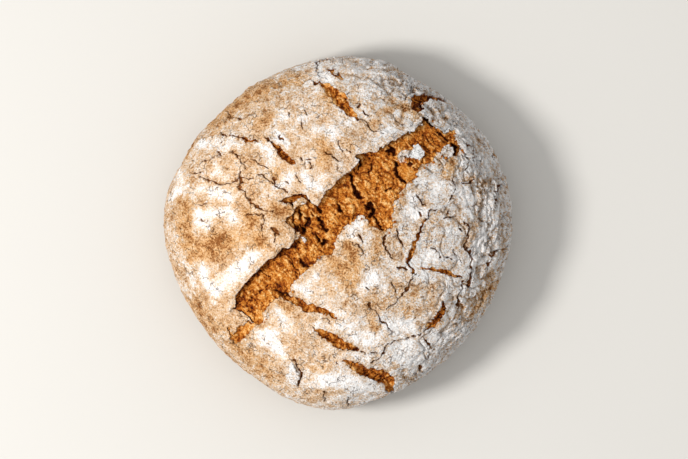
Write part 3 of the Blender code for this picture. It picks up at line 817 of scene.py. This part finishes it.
def crumb_surface(points, strayed, outside, across):
    """(mm that the torn crumb lies below the risen crust, a colour tone of 0 to 1: its clumps' height with
    painted shade in creases and hollows and painted highlight on crowns).
    """
    slot = smooth(strayed[:, 0] + 0.6 * strayed[:, 1], 10, -35)
    high_drop = HIGH_SIDE_DROP + (SLOT_DROP - HIGH_SIDE_DROP) * slot
    drop = LOW_SIDE_DROP + (high_drop - LOW_SIDE_DROP) * (1 - smooth(across, 0.0, 0.75)) ** 1.3
    drop *= smooth(np.hypot(*(strayed - CRUMBLED_END).T), *CRUMBLED_REACH)
    corner = np.exp(-(np.hypot(*(strayed - WEST_CORNER).T) / CORNER_REACH) ** 2)
    drop *= 1 - 0.75 * corner
    drop += 0.4 * smooth(-outside, 0.0, 2.0)
    buried = smooth(outside, -0.3, 0.7)
    # Painted shadow: the crumb in the score's south-west slot is darker near the raised lip, where the lip's
    # shadow falls.
    shade = 0.40 * slot * (1 - smooth(-outside, 0.5, 4.5)) * (across < 0.5)
    calm = np.zeros(len(points))
    for path in PADS:
        calm = np.maximum(calm, 1 - smooth(stroke_gap(strayed, path), -0.8, 0.8))
    for name, path in TEARS.items():
        gap = stroke_gap(strayed, path)
        floor = TEAR_FLOORS.get(name, TEAR_FLOOR)
        nearer = gap < outside
        drop = np.where(nearer, 0.3 + floor * smooth(-gap, -0.2, 1.8), drop)
        # Painted shade: the crumb in a deeper tear is darker, in a shallow one lighter.
        shade = np.where(nearer, 0.15 * (floor - 1.45), shade)
        buried = np.where(nearer, smooth(gap, -0.2, 0.7), buried)
        outside = np.minimum(outside, gap)
    strands = points @ np.array(((0.69, -0.45, 0), (0.72, 0.42, 0), (0, 0, 1)))
    clumps = 0.60 * nodules(strands, 0.0046, 2.5) + 0.40 * nodules(points, 0.0022, 7.1)
    swell = rough(points, 0.0080, 2, 3.1)
    fibres = rough(strands, 0.0016, 3, 6.4)
    relief = CLUMP_RELIEF * (clumps - 0.35) + SWELL_RELIEF * swell + FIBRE_RELIEF * fibres
    # The colour tone: painted shade and highlight, dark in the creases between clumps, light on their crowns
    # and where the crumb stands high at the west corner; pads keep an even tone.
    height = 0.60 * clumps + 0.24 * swell + 0.28 * fibres + 0.36 + 0.24 * corner
    relief *= 1 - 0.85 * calm
    height += (0.70 - height) * 0.8 * calm - shade
    for depth, *path in HOLES:
        hole = 1 - smooth(stroke_gap(strayed, path), -1.0, 0.7)
        drop = drop + depth * hole
        # Painted shade: the crumb is darkened inside each named hollow.
        height = height * (1 - 0.95 * smooth(hole, 0.15, 0.9))
    return drop - relief * (1 - buried) + TUCKED_UNDER * buried, np.clip(height, 0, 1)


def torn_ground(spots):
    """(points, normals, rise, ragged spots, outside, across) of the crust over spots in mm."""
    points, normals = dome(spots)
    rise = swelling(points)
    strayed = ragged(points, from_above(points, normals, rise))
    return points, normals, rise, strayed, *torn_edge(strayed)


def keep_only(bm, kept):
    """Deletes the vertices of a sheet that aren't kept, then those left without a face."""
    spare = [vert for vert, stays in zip(bm.verts, kept) if not stays]
    bmesh.ops.delete(bm, geom=spare, context="VERTS")
    stray = [vert for vert in bm.verts if not vert.link_faces]
    bmesh.ops.delete(bm, geom=stray, context="VERTS")


def underside(bm):
    """Closes a sheet with a second one, joined at its edges, and returns the new vertices."""
    made = bmesh.ops.extrude_face_region(bm, geom=bm.faces[:])["geom"]
    return [item for item in made if isinstance(item, bmesh.types.BMVert)]


crumb_mesh = bmesh.new()
segments = round(CRUMB_LENGTH / CRUMB_PITCH)
bmesh.ops.create_grid(crumb_mesh, x_segments=segments, y_segments=segments, size=CRUMB_LENGTH / 2)
crumb_spots = places(crumb_mesh)[:, :2]
near = inside_loop(crumb_spots, NORTH_WEST_LIP + SOUTH_EAST_LIP)
for path in (NORTH_WEST_LIP, SOUTH_EAST_LIP, *TEARS.values()):
    near |= stroke_gap(crumb_spots, path) < CRUMB_REACH
keep_only(crumb_mesh, near)
for vert in underside(crumb_mesh):
    vert.co.z = -1
bmesh.ops.recalc_face_normals(crumb_mesh, faces=crumb_mesh.faces[:])
crumb_mesh.verts.index_update()
crumb_plan = places(crumb_mesh)
crumb_blank, crumb_outward, crumb_swell, strayed, outside, across = torn_ground(crumb_plan[:, :2])
crumb_lips = lip_rise(strayed, outside, across)
depth = np.where(outside < CRUMB_REACH, SCORE_FLOOR, TEAR_HOLLOW) + CRUMB_UNDERLAP
clump_light_and_shade = np.zeros(len(depth))
shown = crumb_plan[:, 2] >= 0
depth[shown], clump_light_and_shade[shown] = crumb_surface(
    crumb_blank[shown], strayed[shown], outside[shown], across[shown]
)
depth += crumb_lips
crumb_offset = crumb_outward * (crumb_swell + crumb_lips)[:, None] - sinking(crumb_outward) * depth[:, None]
crumb_points = crumb_blank + crumb_offset / 1000
crumb_points[:, :2] += shift
# The crumb's height value is its colour tone, which carries painted shade and painted highlight.
crumb = shaped_piece("crumb", crumb_mesh, crumb_points, {
    "height": clump_light_and_shade, "dusted": strokes(strayed, DUSTED, 2.0)
})
fewer_faces(crumb, CRUMB_TRIANGLES)

torn_crumb = Finish("torn_crumb", 0.80, 0.15)
fibre = torn_crumb.grain(0.0010, 3.0, sharp=0.7)
clump = torn_crumb.grain(0.0030, 3.0, sharp=0.6)
# The crumb's colour follows its height value: painted shade in hollows and creases, painted highlight on
# crowns; the fibre and clump noise are its own mottle.
tone = torn_crumb.math("ADD", torn_crumb.field("height"), torn_crumb.spread(fibre, 1.6))
tone = torn_crumb.math("ADD", tone, torn_crumb.spread(clump, 0.8))
inner = torn_crumb.ramp(
    tone,
    (0.02, 56, 15, 0), (0.25, 120, 50, 2), (0.50, 183, 105, 29),
    (0.74, 214, 143, 60), (0.98, 242, 194, 128),
)
specks = torn_crumb.math("ADD", torn_crumb.field("dusted"), torn_crumb.spread(fibre, 1.6))
fallen = torn_crumb.ease(torn_crumb.math("ADD", specks, torn_crumb.spread(clump, 1.2)), 0.62, 0.85)
torn_crumb.paint(torn_crumb.blend(fallen, inner, linear(232, 220, 206)))
torn_crumb.bumps((clump, 0.0014), (fibre, 0.0014))
crumb.data.materials.append(torn_crumb.made)
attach(crumb, "root")
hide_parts("loaf")

# ---- Flakes ----
# Chips of floured crust that broke away as the loaf burst, stuck where they fell: most on the
# crumb, one on the crust near the south rim. They are plates a millimetre thick with torn edges.
FLAKE_PITCH = 0.40
FLAKE_THICK = 1.1
FLAKE_CURL = 0.018  # mm that a plate bends down at 1 mm from its middle, growing as the square
FLAKE_WARP = 0.45
FLAKE_FIELD = ((-66, -103), (76, 106))  # mm, two corners of the ground that holds every flake
FLAKES = (  # outline in mm from above, mm that it lies below the crust, flour, toast
    (((46.8, 46.6), (46.2, 49.5), (48.6, 52.2), (48.2, 55), (51.5, 55.6), (54.8, 52), (55.4, 48.4),
        (52.6, 45.6), (50, 46.4)), -1.9, 1.5, 0.1),
    (((38.8, 46.4), (38.4, 49.4), (41, 51.8), (44.6, 52.4), (46, 50.2), (45, 47), (42.4, 47.8)),
        -1, 0.75, 0.4),
    (((66.8, 47), (66.4, 50.8), (67.6, 54.6), (70.6, 55.4), (73.2, 52.8), (73.4, 48.6), (70.8, 45.8)),
        -2.3, 0.62, 0.1),
    (((-27.6, 14.4), (-28, 18), (-25, 20.6), (-22, 22.6), (-18.2, 20.8), (-19.4, 17.8), (-23, 16.6),
        (-25.8, 13.6)), -2.4, 0.55, 1),
    (((-28, -4), (-27.4, -0.6), (-24.6, 0.8), (-22.2, -1.4), (-23, -4.6), (-25.4, -5.4)), -0.6, 0.45, 0.7),
    (((-21.8, -6.2), (-22, -3.2), (-19.6, -2.4), (-18, -4.4), (-19.2, -6.6)), -0.3, 0.75, 0.3),
    (((-13.4, 18.8), (-15, 21), (-13, 24), (-10.8, 22.2), (-11.2, 19.2)), -0.8, 0.7, 0.3),
    (((24, -97.5), (27.5, -100), (30.5, -100.5), (31, -97.5), (28, -95.5)), -0.5, 0.75, 0.3),
    (((-63, -57.4), (-61.6, -53), (-57.2, -53), (-55.8, -56.2), (-59.2, -58.8)), -0.9, 0.5, 0.8),
    (((-1.4, 99.6), (-2.2, 102.4), (0.6, 103), (2, 100.6)), -0.9, 0.8, 0.2),
    (((-28.5, -81), (-30.4, -87), (-31.5, -93), (-29, -94.5), (-25.8, -97.5), (-23.4, -92), (-24.6, -87)),
        -2.2, 1, 0.9),
)

field_low, field_high = np.array(FLAKE_FIELD)
field_size = field_high - field_low
columns, rows = (round(side / FLAKE_PITCH) for side in field_size.tolist())
flake_mesh = bmesh.new()
bmesh.ops.create_grid(flake_mesh, x_segments=columns, y_segments=rows, size=0.5)
flake_spots = places(flake_mesh)[:, :2] * field_size + (field_low + field_high) / 2
jagged = ragged(np.column_stack([flake_spots, np.zeros(len(flake_spots))]) / 1000, flake_spots)
which = np.full(len(flake_spots), -1)
for number, (outline, *_) in enumerate(FLAKES):
    which[inside_loop(jagged, outline)] = number
for vert, spot, number in zip(flake_mesh.verts, flake_spots, which):
    vert.co = (*spot, number)
keep_only(flake_mesh, which >= 0)
lower = underside(flake_mesh)
bmesh.ops.recalc_face_normals(flake_mesh, faces=flake_mesh.faces[:])
flake_mesh.verts.index_update()
flake_plan = places(flake_mesh)
number = flake_plan[:, 2].astype(int)
below = np.zeros(len(flake_plan))
below[[vert.index for vert in lower]] = FLAKE_THICK
flake_blank, flake_outward = dome(flake_plan[:, :2])
below += np.array([flake[1] for flake in FLAKES])[number]
centres = np.array([np.mean(flake[0], axis=0) for flake in FLAKES])[number]
below += FLAKE_CURL * ((flake_plan[:, :2] - centres) ** 2).sum(axis=1)
below += FLAKE_WARP * rough(flake_blank, 0.0030, 2, 5.5)
flake_rise = swelling(flake_blank) - below
flake_points = flake_blank + flake_outward * flake_rise[:, None] / 1000
flake_points[:, :2] += shift
flakes = shaped_piece("flakes", flake_mesh, flake_points, {
    "flour": np.array([flake[2] for flake in FLAKES])[number],
    "toast": np.array([flake[3] for flake in FLAKES])[number],
    "torn": np.zeros(len(number)),
    "crack": np.zeros(len(number)),
    "rugged": np.full(len(number), 0.6),
})
flakes.data.materials.append(floured.made)
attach(flakes, "root")

# ---- Loose crumbs ----
# Crumbs that fell from the torn edges as the loaf opened. They lie along the score's low side and
# along the tears, on the crust or the crumb as it happens.
CRUMB_COUNT = 60
CRUMB_SCATTER = 1.1  # mm off the torn edge
CRUMB_RADII = (0.00035, 0.0009)
CRUMB_STRETCH = (0.8, 1.4)
strewn = np.random.default_rng(5)
crumb_paths = [SOUTH_EAST_LIP[4:], *TEARS.values()]
lengths = np.array([len(path) - 1 for path in crumb_paths], float)
loose_spots = []
for _ in range(CRUMB_COUNT):
    path = crumb_paths[strewn.choice(len(crumb_paths), p=lengths / lengths.sum())]
    leg = strewn.integers(len(path) - 1)
    start, end = np.array(path[leg][:2]), np.array(path[leg + 1][:2])
    loose_spots.append(start + strewn.random() * (end - start) + strewn.normal(0, CRUMB_SCATTER, 2))
loose_spots = np.array(loose_spots)
loose_blank, loose_outward, loose_swell, strayed, opening, across = torn_ground(loose_spots)
on_crumb = loose_swell - crumb_surface(loose_blank, strayed, opening, across)[0]
on_crust = loose_swell + lip_rise(strayed, opening, across)
for path in TEARS.values():
    opening = np.minimum(opening, stroke_gap(strayed, path))
resting = np.where(opening < 0, on_crumb, on_crust)
loose_mesh = bmesh.new()
for place, up, rise in zip(loose_blank, loose_outward, resting):
    size = strewn.uniform(*CRUMB_RADII) * strewn.uniform(*CRUMB_STRETCH)
    heart = place + up * (rise / 1000 + 0.4 * size) + (*shift, 0)
    made = bmesh.ops.create_icosphere(loose_mesh, subdivisions=2, radius=size)["verts"]
    for vert in made:
        vert.co *= 1 + 0.35 * noise.noise(vert.co / (0.9 * size) + Vector(heart) * 500)
        vert.co += Vector(heart)
loose_points = places(loose_mesh)
loose = shaped_piece("loose_crumbs", loose_mesh, loose_points, {
    "height": np.full(len(loose_points), 0.45), "dusted": np.zeros(len(loose_points))
})
loose.data.materials.append(torn_crumb.made)
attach(loose, "root")

# ---- Floor and light ----
# A plain pale sheet under the loaf, one large soft lamp from the left and a weak even sky.
FLOOR_SIZE = 6.0
KEY_PLACE = (-1.16, -0.17, 1.44)
KEY_SIZE = 0.45
KEY_POWER = 33.0
SKY_STRENGTH = 0.84

floor_mesh = bmesh.new()
bmesh.ops.create_grid(floor_mesh, x_segments=1, y_segments=1, size=FLOOR_SIZE / 2)
floor = shaped_piece("floor", floor_mesh, places(floor_mesh), {})
pale = Finish("pale_floor", 0.9, 0.2)
pale.paint(linear(196, 195, 192))
floor.data.materials.append(pale.made)

key_data = bpy.data.lights.new("key", "AREA")
key_data.shape = "DISK"
key_data.size = KEY_SIZE
key_data.energy = KEY_POWER
key_data.color = (1.0, 0.97, 0.93)
key = placed("key", key_data)
key.location = KEY_PLACE
key.rotation_euler = (-Vector(KEY_PLACE)).to_track_quat("-Z", "Y").to_euler()

world = bpy.data.worlds.new("sky")
world.use_nodes = True
world.node_tree.nodes["Background"].inputs["Color"].default_value = (1.0, 0.985, 0.965, 1.0)
world.node_tree.nodes["Background"].inputs["Strength"].default_value = SKY_STRENGTH
bpy.context.scene.world = world
bpy.context.scene.view_settings.view_transform = "Standard"
